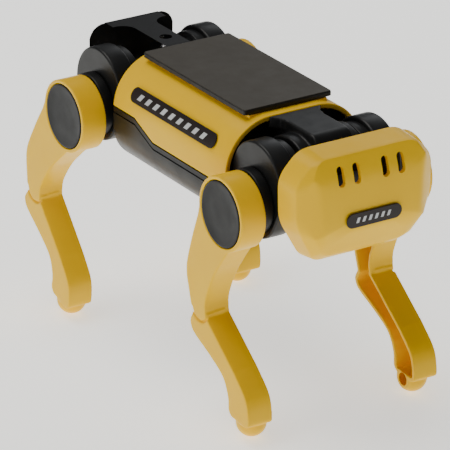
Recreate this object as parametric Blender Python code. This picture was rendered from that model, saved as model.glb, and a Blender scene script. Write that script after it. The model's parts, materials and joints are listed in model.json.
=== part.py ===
"""Solar powered four-legged walking robot toy, modelled in metres with +Z up and +X towards its head.

One small motor in the body turns a chain of spur gears.  The last gear at each end sits on a steel
axle that crosses the body, and a leg is fixed to each end of both axles, so all four legs turn
together.  The origin is the centre of the bounding box, on the floor under the feet.
"""
import math

import bmesh
import bpy
import numpy as np
from mathutils import Matrix, Vector

# ---------------------------------------------------------------- driving dimensions (metres)
GAP = 0.0003                    # between two pieces that touch
HIP_MID_X = -0.0032             # middle of the two hip axles, measured from the origin
HIP_HEIGHT = 0.0858             # hip axles above the floor
HIP_SPACING = 0.110             # front axle to rear axle
BODY_HALF_WIDTH = 0.0300
BODY_FRONT = 0.0398             # ends of the yellow shell, from the middle of the hips
BODY_REAR = -0.0385
BODY_TOP = 0.0264               # heights below are measured from the hip axles
BODY_BOTTOM = -0.0155
SHOULDER_RADIUS = 0.0197        # rounding of the shell's upper edges
BELLY_RADIUS = 0.0150           # rounding of the belly's lower edges
SHELL_WALL = 0.0020
LEG_INNER = 0.0315              # planes of a leg, out from the middle of the body
LEG_OUTER = 0.0420
LEG_WALL = 0.0016
LEG_RING = 0.0143               # radius of a leg's round head
AXLE_RADIUS = 0.0015
BORE_RADIUS = 0.00158
# How far back each leg is turned at rest, in degrees
LEG_TURN = {"front_right": 0.0, "front_left": -0.5, "rear_right": 12.9, "rear_left": 6.9}

HIP_X = {"front": HIP_SPACING / 2, "rear": -HIP_SPACING / 2}
SIDE_Y = {"right": -1.0, "left": 1.0}

# ---------------------------------------------------------------- gear train
DRIVE_MODULE = 0.0010
MOTOR_MODULE = 0.0006
AXLE_TEETH = 21
CHAIN_TEETH = 30                # both idlers and the drive gear
INPUT_TEETH = 50                # wheel beside the drive gear
REDUCTION_SMALL_TEETH = 12
REDUCTION_LARGE_TEETH = 34
PINION_TEETH = 9
CHAIN_HEIGHT = 0.0050           # idlers and drive gear above the axles
GEAR_HALF_WIDTH = 0.0025
CHAIN_PITCH_RADIUS = DRIVE_MODULE * CHAIN_TEETH / 2
AXLE_PITCH_RADIUS = DRIVE_MODULE * AXLE_TEETH / 2
IDLER_X = HIP_SPACING / 2 - math.sqrt((CHAIN_PITCH_RADIUS + AXLE_PITCH_RADIUS) ** 2 - CHAIN_HEIGHT ** 2)
REDUCTION_REACH = MOTOR_MODULE * (INPUT_TEETH + REDUCTION_SMALL_TEETH) / 2
MOTOR_REACH = MOTOR_MODULE * (REDUCTION_LARGE_TEETH + PINION_TEETH) / 2
REDUCTION_HEIGHT = 0.0030
REDUCTION_X = -math.sqrt(REDUCTION_REACH ** 2 - (CHAIN_HEIGHT - REDUCTION_HEIGHT) ** 2)
MOTOR_X = REDUCTION_X + MOTOR_REACH

# ---------------------------------------------------------------- colours
YELLOW = (0.83, 0.56, 0.035)
BLACK = (0.035, 0.037, 0.040)
PANEL = (0.085, 0.075, 0.062)
BADGE = (0.022, 0.018, 0.017)
STEEL = (0.62, 0.62, 0.64)
BRASS = (0.72, 0.52, 0.22)
GEAR_WHITE = (0.80, 0.79, 0.74)
WIRE_RED = (0.65, 0.02, 0.02)
FINISHES = {
    "yellow_plastic": (YELLOW, 0.35, 0.0),
    "black_plastic": (BLACK, 0.42, 0.0),
    "panel_face": (PANEL, 0.55, 0.0),
    "badge_film": (BADGE, 0.40, 0.0),
    "steel": (STEEL, 0.30, 1.0),
    "brass": (BRASS, 0.30, 1.0),
    "gear_plastic": (GEAR_WHITE, 0.45, 0.0),
    "wire_red": (WIRE_RED, 0.45, 0.0),
    "wire_black": (BLACK, 0.45, 0.0),
}


# ---------------------------------------------------------------- small tools
def clear_scene():
    for item in list(bpy.data.objects):
        bpy.data.objects.remove(item, do_unlink=True)


def material(name):
    found = bpy.data.materials.get(name)
    if found:
        return found
    colour, roughness, metallic = FINISHES[name]
    made = bpy.data.materials.new(name)
    made.use_nodes = True
    shader = made.node_tree.nodes["Principled BSDF"]
    shader.inputs["Base Color"].default_value = (*colour, 1.0)
    shader.inputs["Roughness"].default_value = roughness
    shader.inputs["Metallic"].default_value = metallic
    return made


def arc(centre, radius, start, end, steps):
    """Points on an arc, angles in degrees, both ends included."""
    angles = np.radians(np.linspace(start, end, steps + 1))
    return [(centre[0] + radius * math.cos(a), centre[1] + radius * math.sin(a)) for a in angles]


def circle(centre, radius, steps):
    return arc(centre, radius, 0.0, 360.0, steps)[:-1]


def rectangle(low, high):
    return [(low[0], low[1]), (high[0], low[1]), (high[0], high[1]), (low[0], high[1])]


def rounded_rectangle(low, high, radius, steps=3):
    corners = [(high[0], high[1], 0), (low[0], high[1], 90), (low[0], low[1], 180), (high[0], low[1], 270)]
    points = []
    for x, z, angle in corners:
        centre = (x - math.copysign(radius, x - (low[0] + high[0]) / 2),
                  z - math.copysign(radius, z - (low[1] + high[1]) / 2))
        points += arc(centre, radius, angle, angle + 90, steps)
    return points


def stadium_outline(low, high, middle, radius):
    """A long shape with round ends, from low to high along its length."""
    return arc((high - radius, middle), radius, -90, 90, 8) + arc((low + radius, middle), radius, 90, 270, 8)


def smooth_line(keys, steps):
    """A Catmull-Rom curve through the key points, both ends included."""
    keys = [Vector(k) for k in keys]
    padded = [2 * keys[0] - keys[1]] + keys + [2 * keys[-1] - keys[-2]]
    points = []
    for a, b, c, d in zip(padded, padded[1:], padded[2:], padded[3:]):
        for step in range(steps):
            t = step / steps
            points.append(0.5 * (2 * b + (c - a) * t + (2 * a - 5 * b + 4 * c - d) * t ** 2
                                 + (3 * b - 3 * c + d - a) * t ** 3))
    points.append(keys[-1])
    return [tuple(p) for p in points]


def inset_outline(outline, distance):
    """Move every corner of a closed, counter-clockwise outline inwards by the distance."""
    moved = []
    count = len(outline)
    for index in range(count):
        before = Vector(outline[index - 1])
        here = Vector(outline[index])
        after = Vector(outline[(index + 1) % count])
        first = (here - before).normalized()
        second = (after - here).normalized()
        inward = Vector((-first.y - second.y, first.x + second.x)).normalized()
        stretch = max(inward.dot(Vector((-first.y, first.x))), 0.6)
        moved.append(tuple(here + inward * (distance / stretch)))
    return moved


def frame_point(along, across, up):
    """Turn body coordinates (hips at height 0) into world coordinates."""
    return Vector((along + HIP_MID_X, across, up + HIP_HEIGHT))


def loft(sections, axis="y"):
    """A closed mesh through outlines with the same number of points; sections are (level, outline)."""
    order = {"x": lambda u, v, w: (w, u, v), "y": lambda u, v, w: (u, w, v), "z": lambda u, v, w: (u, v, w)}
    place = order[axis]
    mesh = bmesh.new()
    rings = [[mesh.verts.new(frame_point(*place(u, v, level))) for u, v in outline]
             for level, outline in sections]
    count = len(rings[0])
    for near, far in zip(rings, rings[1:]):
        for index in range(count):
            after = (index + 1) % count
            mesh.faces.new((near[index], near[after], far[after], far[index]))
    mesh.faces.new(rings[0])
    mesh.faces.new(rings[-1])
    bmesh.ops.recalc_face_normals(mesh, faces=mesh.faces)
    return mesh


def prism(outline, low, high, axis="y"):
    """A closed mesh: an outline in the other two axes, extruded from low to high along one axis."""
    return loft([(low, outline), (high, outline)], axis)


def object_from(mesh, name):
    data = bpy.data.meshes.new(name)
    mesh.to_mesh(data)
    mesh.free()
    item = bpy.data.objects.new(name, data)
    bpy.context.scene.collection.objects.link(item)
    return item


def taken(item):
    """The mesh of a helper object, which is removed."""
    mesh = bmesh.new()
    mesh.from_mesh(item.data)
    bpy.data.objects.remove(item, do_unlink=True)
    return mesh


def combine(item, tool_mesh, operation):
    """Cut a tool mesh from an object, or join it on, and keep only the result."""
    tool = object_from(tool_mesh, "tool")
    change = item.modifiers.new("combine", "BOOLEAN")
    change.operation = operation
    change.solver = "EXACT"
    change.object = tool
    bpy.context.view_layer.update()
    result = bpy.data.meshes.new_from_object(item.evaluated_get(bpy.context.evaluated_depsgraph_get()))
    item.modifiers.clear()
    old = item.data
    item.data = result
    bpy.data.meshes.remove(old)
    bpy.data.objects.remove(tool, do_unlink=True)


def cut(item, *tools):
    for tool in tools:
        combine(item, tool, "DIFFERENCE")


def join(item, *tools):
    for tool in tools:
        combine(item, tool, "UNION")


def finish(item, finish_name, axis_point=None, smooth_angle=35.0):
    """Give an object its material and shading, and move its origin to a point without moving it."""
    mesh = bmesh.new()
    mesh.from_mesh(item.data)
    bmesh.ops.remove_doubles(mesh, verts=mesh.verts, dist=0.000001)
    mesh.to_mesh(item.data)
    mesh.free()
    item.data.name = item.name
    item.data.materials.clear()
    item.data.materials.append(material(finish_name))
    item.data.shade_smooth()
    item.data.set_sharp_from_angle(angle=math.radians(smooth_angle))
    if axis_point is not None:
        item.data.transform(Matrix.Translation(-Vector(axis_point)))
        item.location = axis_point
    return item


def build(name, finish_name, mesh, cuts=(), joins=(), axis_point=None):
    item = object_from(mesh, name)
    join(item, *joins)
    cut(item, *cuts)
    return finish(item, finish_name, axis_point)


def rod(x, z, radius, low, high, steps=12):
    """A round bar along Y."""
    return prism(circle((x, z), radius, steps), low, high)


def span(side, inner, outer):
    """Low and high Y of a piece that lies between two distances out from the middle."""
    return sorted((side * inner, side * outer))


def outline_between_circles(low_centre, low_radius, high_centre, high_radius, steps=20):
    """The egg shape round a small circle and a larger one straight above it."""
    lean = math.degrees(math.asin((high_radius - low_radius) / (high_centre[1] - low_centre[1])))
    upper = arc(high_centre, high_radius, -lean, 180 + lean, steps)
    lower = arc(low_centre, low_radius, 180 + lean, 360 - lean, steps * 2 // 3)
    return upper + lower


# ---------------------------------------------------------------- body shells and panel
SIDE_STEP_HIGH = 0.0077         # lower edge of the yellow side behind and ahead of its step
SIDE_STEP_LOW = 0.0022
SIDE_STEP_BACK = -0.0230
SIDE_STEP_FRONT = -0.0100
PANEL_REAR, PANEL_FRONT = -0.0341, 0.0358
PANEL_HALF_WIDTH = 0.0193
PANEL_THICKNESS = 0.0021
PANEL_SEAT_HALF_WIDTH = 0.0170
BULKHEAD_FACE = 0.0376          # outer faces of the two end walls
BULKHEAD_THICKNESS = 0.0018
GROOVE_DROP = 0.0021            # decorative groove below the yellow edge
GROOVE_WIDTH, GROOVE_DEPTH = 0.0006, 0.0005
GEAR_SLOT_HALF_WIDTH = 0.0036
WIRE_X, WIRE_Y = 0.0010, -0.0118    # where the panel wires pass through the shell
WIRE_RADIUS = 0.0005
SHELL_SCREW_PLACES = {"front": (0.027, 0.0), "rear": (-0.027, 0.0)}


def shell_section(half_width, top, shoulder_radius, bottom, belly_radius):
    """The body's cross-section: y across and z up, counter-clockwise."""
    shoulder = (half_width - shoulder_radius, top - shoulder_radius)
    belly = (half_width - belly_radius, bottom + belly_radius)
    right = arc(shoulder, shoulder_radius, 0, 90, 8)
    left = [(-y, z) for y, z in reversed(right)]
    left_low = arc((-belly[0], belly[1]), belly_radius, 180, 270, 6)
    right_low = [(-y, z) for y, z in reversed(left_low)]
    return right + left + left_low + right_low


OUTER_SECTION = shell_section(BODY_HALF_WIDTH, BODY_TOP, SHOULDER_RADIUS, BODY_BOTTOM, BELLY_RADIUS)
INNER_SECTION = inset_outline(OUTER_SECTION, SHELL_WALL)


def side_edge_outline(lift):
    """Area above the stepped edge of the yellow side, as x and z, raised by a small lift."""
    high = SIDE_STEP_HIGH + lift
    low = SIDE_STEP_LOW + lift
    far = 0.060
    return [(-far, high), (SIDE_STEP_BACK, high), (SIDE_STEP_FRONT, low), (far, low),
            (far, far), (-far, far)]


def make_upper_shell():
    outside = prism(OUTER_SECTION, BODY_REAR, BODY_FRONT, "x")
    hollow = prism(INNER_SECTION, BODY_REAR - 0.01, BODY_FRONT + 0.01, "x")
    seat = prism(rectangle((PANEL_REAR, -PANEL_SEAT_HALF_WIDTH), (PANEL_FRONT, PANEL_SEAT_HALF_WIDTH)),
                 BODY_TOP - 0.0030, BODY_TOP, "z")
    below_edge = side_edge_outline(GAP)[:4] + [(0.060, -0.040), (-0.060, -0.040)]
    lower_part = prism(below_edge, -0.05, 0.05)
    wire_hole = prism(circle((WIRE_X, WIRE_Y), 0.0024, 12), 0.0, BODY_TOP + 0.01, "z")
    return build("upper_shell", "yellow_plastic", outside, joins=[seat], cuts=[hollow, lower_part, wire_hole])


def make_lower_shell():
    """The belly: a tub with an end wall at each end and a slot in both walls for the gear chain."""
    outside = prism(OUTER_SECTION, BODY_REAR, BODY_FRONT - 0.0010, "x")
    hollow = prism(INNER_SECTION, BODY_REAR - 0.01, BODY_FRONT + 0.01, "x")
    shell = object_from(outside, "lower_shell")
    cut(shell, hollow, prism(side_edge_outline(-GAP), -0.05, 0.05))
    wall_outline = inset_outline(OUTER_SECTION, SHELL_WALL + GAP)
    foot_outline = inset_outline(OUTER_SECTION, SHELL_WALL / 2)
    low_band = rectangle((-BODY_HALF_WIDTH, BODY_BOTTOM), (BODY_HALF_WIDTH, 0.0010))
    for low in (BULKHEAD_FACE - BULKHEAD_THICKNESS, -BULKHEAD_FACE):
        high = low + BULKHEAD_THICKNESS
        foot = object_from(prism(foot_outline, low, high, "x"), "foot")
        combine(foot, prism(low_band, -0.06, 0.06, "x"), "INTERSECT")
        join(shell, prism(wall_outline, low, high, "x"), taken(foot))
    slot = rectangle((-GEAR_SLOT_HALF_WIDTH, CHAIN_HEIGHT - CHAIN_PITCH_RADIUS),
                     (GEAR_SLOT_HALF_WIDTH, CHAIN_HEIGHT + CHAIN_PITCH_RADIUS))
    cut(shell, prism(slot, -0.05, 0.05, "x"))
    groove = side_edge_outline(-GROOVE_DROP)[:4]
    groove += [(x, z - GROOVE_WIDTH) for x, z in reversed(groove)]
    for side in SIDE_Y.values():
        cut(shell, prism(groove, *span(side, BODY_HALF_WIDTH - GROOVE_DEPTH, 0.04)))
    for x, y in SHELL_SCREW_PLACES.values():
        cut(shell, prism(circle((x, y), 0.0030, 12), BODY_BOTTOM - 0.001, BODY_BOTTOM + 0.0012, "z"))
        cut(shell, prism(circle((x, y), 0.0013, 10), BODY_BOTTOM - 0.001, BODY_BOTTOM + 0.004, "z"))
    return finish(shell, "black_plastic")


def make_solar_panel():
    outline = rounded_rectangle((PANEL_REAR, -PANEL_HALF_WIDTH), (PANEL_FRONT, PANEL_HALF_WIDTH), 0.0010)
    low = BODY_TOP + GAP
    return build("solar_panel", "panel_face", prism(outline, low, low + PANEL_THICKNESS, "z"))


BADGE_REAR, BADGE_FRONT = -0.0276, 0.0302
BADGE_HEIGHT = 0.0159           # middle of a side badge above the axles
BADGE_HALF_WIDTH = 0.0026


def make_side_badges():
    """Thin curved films that wrap the shoulder rounding, with round ends."""
    for name, side in SIDE_Y.items():
        section = inset_outline(OUTER_SECTION, -GAP)
        outside = inset_outline(OUTER_SECTION, -GAP - BADGE_THICKNESS)
        skin = object_from(prism(outside, BADGE_REAR, BADGE_FRONT, "x"), "side_badge_" + name)
        cut(skin, prism(section, -0.06, 0.06, "x"))
        stadium = stadium_outline(BADGE_REAR, BADGE_FRONT, BADGE_HEIGHT, BADGE_HALF_WIDTH)
        combine(skin, prism(stadium, *span(side, 0.01, 0.05)), "INTERSECT")
        finish(skin, "badge_film")


# ---------------------------------------------------------------- head
HEAD_BACK = 0.0745
HEAD_RIM = 0.0850               # where the sides turn into the bevel round the face
HEAD_FACE = 0.0880              # where that bevel meets the crowned face
HEAD_NOSE = 0.0912              # the face's foremost plane, which carries the badge
HEAD_WALL = 0.0018
HEAD_TAPER = 0.0007             # how much narrower each side is at the rim than at the back
# Half outlines, chin to crown, as distance out from the middle and height
HEAD_BACK_CORNERS = [(0.0200, -0.0148), (0.0299, 0.0025), (0.0303, 0.0192), (0.0218, 0.0279)]
HEAD_FACE_CORNERS = [(0.0173, -0.0113), (0.0254, 0.0011), (0.0260, 0.0186), (0.0208, 0.0270)]
EYE_HALF_WIDTH = 0.0013
EYE_LOW, EYE_HIGH = 0.0166, 0.0240
EYE_PLACES = (-0.0130, -0.0062, 0.0062, 0.0130)
FACE_BADGE_HEIGHT = 0.0034
FACE_BADGE_HALF_LENGTH = 0.0120
FACE_BADGE_RADIUS = 0.0028
BADGE_THICKNESS = 0.0004


def head_outline(half, shrink, corner):
    """A whole face outline from its half, made smaller on every side, with rounded corners."""
    corners = half + [(-y, z) for y, z in reversed(half)]
    return rounded_corners(inset_outline(corners, shrink), corner)


def rounded_corners(corners, radius, steps=3):
    """Replace every corner of a closed outline by a small curve."""
    points = []
    count = len(corners)
    for index in range(count):
        here = Vector(corners[index])
        before = (Vector(corners[index - 1]) - here)
        after = (Vector(corners[(index + 1) % count]) - here)
        reach_before = min(radius, before.length * 0.45)
        reach_after = min(radius, after.length * 0.45)
        start = here + before.normalized() * reach_before
        end = here + after.normalized() * reach_after
        for step in range(steps + 1):
            t = step / steps
            points.append(tuple((1 - t) ** 2 * start + 2 * t * (1 - t) * here + t ** 2 * end))
    return points


def face_profile(offset):
    """Side outline of the space behind the crowned face, moved back by an offset."""
    chin = [(0.0796, -0.0174), (0.0846, -0.0120)]
    nose = [(HEAD_NOSE, -0.0002), (HEAD_NOSE, 0.0070)]
    brow = [(0.0898, 0.0195), (0.0862, 0.0272), (0.0800, 0.0345)]
    return [(0.05, 0.0345), (0.05, -0.0174)] + [(x - offset, z) for x, z in chin + nose + brow]


def face_plan(offset):
    """The same space seen from above, as distance forward and distance across."""
    left = [(x - offset, y) for x, y in [(0.0848, 0.0298), (0.0904, 0.0220), (0.0960, 0.0140)]]
    right = [(x, -y) for x, y in left]
    return [(0.05, -0.04), (0.0750, -0.04)] + right + left[::-1] + [(0.0750, 0.04), (0.05, 0.04)]


def head_block(back, shrink, offset):
    """A solid of the head's outline behind its crowned face."""
    sides, face = HEAD_BACK_CORNERS, HEAD_FACE_CORNERS
    rim, edge = HEAD_RIM - offset * 0.5, 0.0005
    sections = [(back, head_outline(sides, shrink, 0.007)),
                (rim - edge, head_outline(sides, shrink + HEAD_TAPER, 0.007)),
                (rim + edge, head_outline(sides, shrink + HEAD_TAPER + edge, 0.006)),
                (HEAD_FACE - offset * 0.5, head_outline(face, shrink, 0.005)),
                (HEAD_NOSE + 0.01, head_outline(face, shrink + edge, 0.005))]
    block = object_from(loft(sections, "x"), "block")
    combine(block, prism(face_profile(offset), -0.04, 0.04), "INTERSECT")
    combine(block, prism(face_plan(offset), -0.03, 0.04, "z"), "INTERSECT")
    return taken(block)


def make_head():
    wall = HEAD_WALL
    outside = head_block(HEAD_BACK, 0.0, 0.0)
    inside = head_block(HEAD_BACK - 0.01, wall, wall)
    eyes = []
    for place in EYE_PLACES:
        slot = arc((place, EYE_HIGH - EYE_HALF_WIDTH), EYE_HALF_WIDTH, 0, 180, 6)
        slot += arc((place, EYE_LOW + EYE_HALF_WIDTH), EYE_HALF_WIDTH, 180, 360, 6)
        eyes.append(prism(slot, HEAD_FACE - 0.008, HEAD_NOSE + 0.01, "x"))
    build("head_shell", "yellow_plastic", outside, cuts=[inside] + eyes)
    stadium = stadium_outline(-FACE_BADGE_HALF_LENGTH, FACE_BADGE_HALF_LENGTH,
                              FACE_BADGE_HEIGHT, FACE_BADGE_RADIUS)
    build("head_badge", "badge_film",
          prism(stadium, HEAD_NOSE + GAP, HEAD_NOSE + GAP + BADGE_THICKNESS, "x"))
    neck_face = HIP_X["front"] + HUB_RADIUS + GAP
    carrier = prism(rounded_rectangle((-0.0070, -0.0010), (0.0070, 0.0125), 0.0015), neck_face,
                    HEAD_NOSE - wall - 0.0012, "x")
    core = prism(rounded_rectangle((-0.0052, 0.0008), (0.0052, 0.0107), 0.0010), neck_face - 0.01,
                 HEAD_NOSE - wall - 0.0030, "x")
    build("head_carrier", "black_plastic", carrier, cuts=[core])


# ---------------------------------------------------------------- brackets and hip housings
BRACKET_TOP = 0.0262
BRACKET_BOTTOM = -0.0128
HUB_HEIGHT = 0.0083             # centre of the round top of every hip housing
HUB_RADIUS = 0.0162
HUB_LOW_RADIUS = 0.0126
HUB_OUTER = 0.0133              # the bracket's own hubs end here, out from the middle
HOUSING_INNER, HOUSING_OUTER = 0.0182, 0.0266
SPIGOT_INNER = 0.0144
BEARING_OUTER = 0.0311
NECK_FRONT = 0.0665
NECK_HALF_WIDTH = 0.0080
TAIL_HALF_WIDTH = 0.0055
TAIL_REAR = -0.0738
TAIL_BAR_FRONT = -0.0675
TAIL_BAR_HALF_WIDTH = 0.0193
TAIL_BAR_RADIUS = 0.0070
TAIL_WALL = 0.0022
TAIL_BAR_BOTTOM = 0.0060
TAIL_HOLE_X = -0.0487
TAIL_HOLE_RADIUS = 0.0023
HOUSING_ROOM = 0.0118           # free radius round an axle gear
BUSH_RADIUS = 0.0032
BEARING_HEIGHT = 0.0024
BEARING_RADIUS = 0.0124


def egg(x, grow=0.0, steps=15):
    return outline_between_circles((x, 0.0), HUB_LOW_RADIUS + grow, (x, HUB_HEIGHT), HUB_RADIUS + grow, steps)


def gear_room(x, inward):
    """The free space inside a bracket: round the axle gear and back to the body's slot."""
    reach = x - inward * 0.0185
    low, high = CHAIN_HEIGHT - CHAIN_PITCH_RADIUS + 0.0005, CHAIN_HEIGHT + CHAIN_PITCH_RADIUS
    block = rectangle((min(x, reach), low), (max(x, reach), high))
    return [prism(circle((x, 0.0), HOUSING_ROOM, 24), -GEAR_SLOT_HALF_WIDTH, GEAR_SLOT_HALF_WIDTH),
            prism(block, -GEAR_SLOT_HALF_WIDTH, GEAR_SLOT_HALF_WIDTH)]


def hubs(x):
    """The round bosses on both sides of a bracket."""
    step = 0.0082
    wide = prism(egg(x), -step, step)
    narrow = prism(egg(x, -0.0007), -HUB_OUTER, HUB_OUTER)
    return [wide, narrow]


def shell_wall_room():
    """The space that the body shells' walls take, with a gap all round."""
    around = prism(inset_outline(OUTER_SECTION, -0.01), BODY_REAR - GAP, BODY_FRONT + GAP, "x")
    room = object_from(around, "room")
    cut(room, prism(inset_outline(OUTER_SECTION, SHELL_WALL + GAP), -0.06, 0.06, "x"))
    return taken(room)


def make_front_bracket():
    x = HIP_X["front"]
    back = BULKHEAD_FACE + GAP
    radius = 0.0050
    side_view = [(back, BRACKET_BOTTOM), (NECK_FRONT - 0.004, BRACKET_BOTTOM), (NECK_FRONT, -0.0090)]
    side_view += arc((NECK_FRONT - radius, BRACKET_TOP - radius), radius, 0, 90, 5)
    side_view += [(back, BRACKET_TOP)]
    block = prism(side_view, -NECK_HALF_WIDTH, NECK_HALF_WIDTH)
    flare_half, flare_depth = 0.0113, 0.0042
    top_view = [(back, -flare_half), (0.0408, -flare_half), (0.0432, -NECK_HALF_WIDTH - 0.0004),
                (0.0470, -NECK_HALF_WIDTH), (0.0470, NECK_HALF_WIDTH),
                (0.0432, NECK_HALF_WIDTH + 0.0004), (0.0408, flare_half), (back, flare_half)]
    flare = prism(top_view, BRACKET_TOP - flare_depth, BRACKET_TOP, "z")
    bore = rod(x, 0.0, BUSH_RADIUS + GAP / 2, -0.05, 0.05)
    build("front_bracket", "black_plastic", block, joins=[flare] + hubs(x),
          cuts=gear_room(x, 1.0) + [bore, shell_wall_room()])


def tail_arch(offset):
    """Half-round topped outline of the tail piece as y and z."""
    half = TAIL_BAR_HALF_WIDTH - offset
    top = BRACKET_TOP - offset
    radius = TAIL_BAR_RADIUS - offset * 0.5
    right = arc((half - radius, top - radius), radius, 0, 90, 5)
    left = [(-y, z) for y, z in reversed(right)]
    return [(half, TAIL_BAR_BOTTOM)] + right + left + [(-half, TAIL_BAR_BOTTOM)]


def make_rear_bracket():
    x = HIP_X["rear"]
    back = -BULKHEAD_FACE - GAP
    stem_end = TAIL_BAR_FRONT - 0.001
    stem_side = [(back, BRACKET_TOP), (stem_end, BRACKET_TOP), (stem_end, -0.0090),
                 (TAIL_BAR_FRONT + 0.003, BRACKET_BOTTOM), (back, BRACKET_BOTTOM)]
    stem = prism(stem_side, -TAIL_HALF_WIDTH, TAIL_HALF_WIDTH)
    arch = prism(tail_arch(0.0), TAIL_REAR, TAIL_BAR_FRONT, "x")
    hollow = prism(tail_arch(TAIL_WALL)[1:-1] + [(-TAIL_BAR_HALF_WIDTH + TAIL_WALL, 0.0),
                                               (TAIL_BAR_HALF_WIDTH - TAIL_WALL, 0.0)],
                   TAIL_REAR + TAIL_WALL, TAIL_BAR_FRONT + 0.01, "x")
    fillet = 0.0055
    corner = (TAIL_BAR_FRONT + fillet, TAIL_HALF_WIDTH + fillet)
    web = [(TAIL_BAR_FRONT - 0.001, corner[1])] + arc(corner, fillet, 180, 270, 5)
    web += [(corner[0], 0.0), (TAIL_BAR_FRONT - 0.001, 0.0)]
    webs = [prism([(u, side * v) for u, v in web], 0.0150, BRACKET_TOP, "z") for side in (-1.0, 1.0)]
    bracket = object_from(arch, "rear_bracket")
    cut(bracket, hollow)
    join(bracket, stem, *webs, *hubs(x))
    cut(bracket, *gear_room(x, -1.0), rod(x, 0.0, BUSH_RADIUS + GAP / 2, -0.05, 0.05), shell_wall_room())
    for side in (-1.0, 1.0):
        low, high = span(side, HUB_OUTER + GAP, 0.05)
        cut(bracket, prism(egg(x, 0.0006), low, high))
    cut(bracket, prism(circle((TAIL_HOLE_X, 0.0), TAIL_HOLE_RADIUS, 16), BRACKET_TOP - 0.0048,
                       BRACKET_TOP + 0.01, "z"))
    finish(bracket, "black_plastic")


def make_hip_housings():
    """Fixed drums between the brackets and the legs, and the axle bearing drums outside them."""
    for end, x in HIP_X.items():
        for side_name, side in SIDE_Y.items():
            label = "%s_%s" % (end, side_name)
            housing = prism(egg(x), *span(side, HOUSING_INNER, HOUSING_OUTER))
            spigot = prism(egg(x, -0.0018), *span(side, SPIGOT_INNER, HOUSING_INNER + 0.001))
            tube = rod(x, 0.0, 0.0050, *span(side, HUB_OUTER + GAP, HOUSING_INNER))
            bore = rod(x, 0.0, 0.0020, -0.05, 0.05)
            build("hip_housing_" + label, "black_plastic", housing, joins=[spigot, tube], cuts=[bore])
            drum = prism(circle((x, BEARING_HEIGHT), BEARING_RADIUS, 24),
                         *span(side, HOUSING_OUTER + GAP, BEARING_OUTER))
            build("hip_bearing_" + label, "black_plastic", drum,
                  cuts=[rod(x, 0.0, BORE_RADIUS, -0.05, 0.05)])


def make_axle_bushes():
    """Brass tubes that carry the axles in the brackets."""
    for end, x in HIP_X.items():
        for side_name, side in SIDE_Y.items():
            body = rod(x, 0.0, BUSH_RADIUS, *span(side, GEAR_SLOT_HALF_WIDTH, HUB_OUTER - GAP))
            build("axle_bush_%s_%s" % (end, side_name), "brass", body,
                  cuts=[rod(x, 0.0, BORE_RADIUS, -0.05, 0.05)])


# ---------------------------------------------------------------- legs
KNEE = (-0.0093, -0.0445)
FOOT_CENTRE = (0.0126, -0.0791)
FOOT_RADIUS = 0.0058
FOOT_MIDDLE = 0.0358            # middle of the round foot, out from the middle of the body
CAP_RADIUS = 0.01255
CAP_THICKNESS = 0.0014


def leg_outline():
    """One leg from the side, hip at (0, 0): round head, thigh, knee, shank and toe."""
    head = arc((0.0, 0.0), LEG_RING, -70, 186, 18)
    thigh_back = smooth_line([(-0.0150, -0.0050), (-0.0194, -0.0170), (-0.0226, -0.0290),
                              (-0.0207, -0.0385), (-0.0182, -0.0462)], 2)
    calf = smooth_line([(-0.0193, -0.0481), (-0.0197, -0.0505), (-0.0170, -0.0539), (-0.0064, -0.0588),
                        (0.0022, -0.0638), (0.0059, -0.0702), (0.0065, -0.0755), (0.0082, -0.0776)], 2)
    toe = smooth_line([(0.0172, -0.0785), (0.0193, -0.0778), (0.0201, -0.0758), (0.0192, -0.0700),
                       (0.0168, -0.0656), (0.0099, -0.0592)], 2)
    thigh_front = smooth_line([KNEE, (-0.0094, -0.0380), (-0.0050, -0.0275), (0.0006, -0.0192)], 2)
    return head + thigh_back + calf + toe + thigh_front


def ball(x, y, z, radius, rings=7, steps=12):
    mesh = bmesh.new()
    bmesh.ops.create_uvsphere(mesh, u_segments=steps, v_segments=rings, radius=radius)
    bmesh.ops.translate(mesh, vec=frame_point(x, y, z), verts=mesh.verts)
    return mesh


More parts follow.
